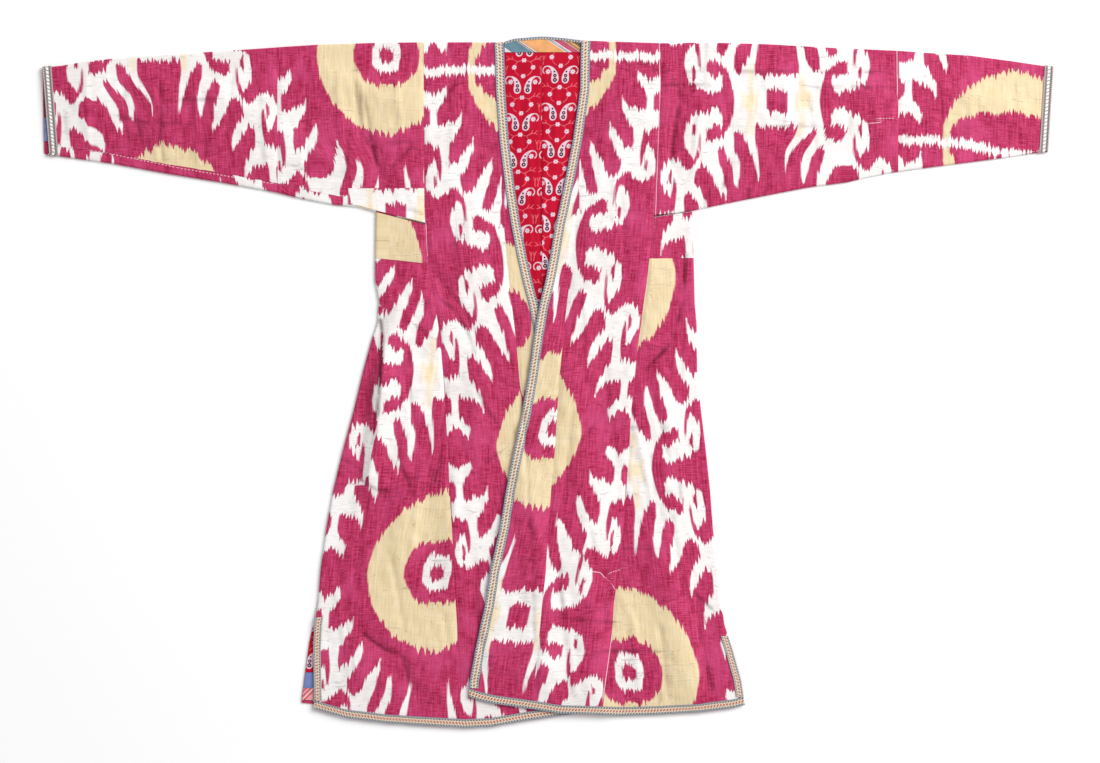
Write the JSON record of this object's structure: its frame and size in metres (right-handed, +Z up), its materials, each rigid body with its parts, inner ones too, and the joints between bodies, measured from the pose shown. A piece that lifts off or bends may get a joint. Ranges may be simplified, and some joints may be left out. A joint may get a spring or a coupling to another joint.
{
  "type": "uzbek chapan robe",
  "caption": "Long-sleeved coat robe of bold ikat cloth with woven tape along every edge, open at the front, laid out flat on its back.",
  "frame": {"origin": "centre of the laid robe's outline, on the floor that it rests on", "axes": "+X to the right of the laid robe, towards the wearer's left sleeve, +Y towards the neck, +Z up"},
  "size_m": [1.6668, 1.1384, 0.0205],
  "materials": {
    "ikat": "hand-woven pink, white and yellow ikat, slightly glossy",
    "ikat_yellow": "yellow ground of the same ikat",
    "lining": "red printed cotton, matt",
    "facing": "striped cotton facing, matt",
    "violet": "blue-violet cotton, matt",
    "rose": "rose striped ribbon, slightly glossy",
    "dark_red": "dark red cotton, matt",
    "tape": "woven grey tape with small red and cream squares"
  },
  "bodies": {
    "root": {"back_center": "ikat", "facing_cuff_left": "dark_red", "facing_neck": "facing", "facing_vent_left": "violet", "front_gore_left": "ikat", "front_gore_right": "ikat", "front_strip_left": "ikat", "front_strip_right": "ikat", "gusset_left": "ikat_yellow", "gusset_right": "ikat_yellow", "lining_left": "lining", "lining_right": "lining", "lining_vent_left": "lining", "patch_sleeve_left": "ikat", "ribbon_vent_left": "rose", "side_back_left": "ikat", "side_back_right": "ikat", "side_front_left": "ikat", "side_front_right": "ikat", "sleeve_inner_left": "ikat", "sleeve_inner_right": "ikat", "sleeve_outer_left": "ikat", "sleeve_outer_right": "ikat", "trim_cuff_left": "tape", "trim_cuff_right": "tape", "trim_front_left": "tape", "trim_front_right": "tape", "trim_hem_left": "tape", "trim_hem_right": "tape", "trim_neck": "tape", "trim_vent_left": "tape", "trim_vent_right": "tape"}
  },
  "joints": []
}
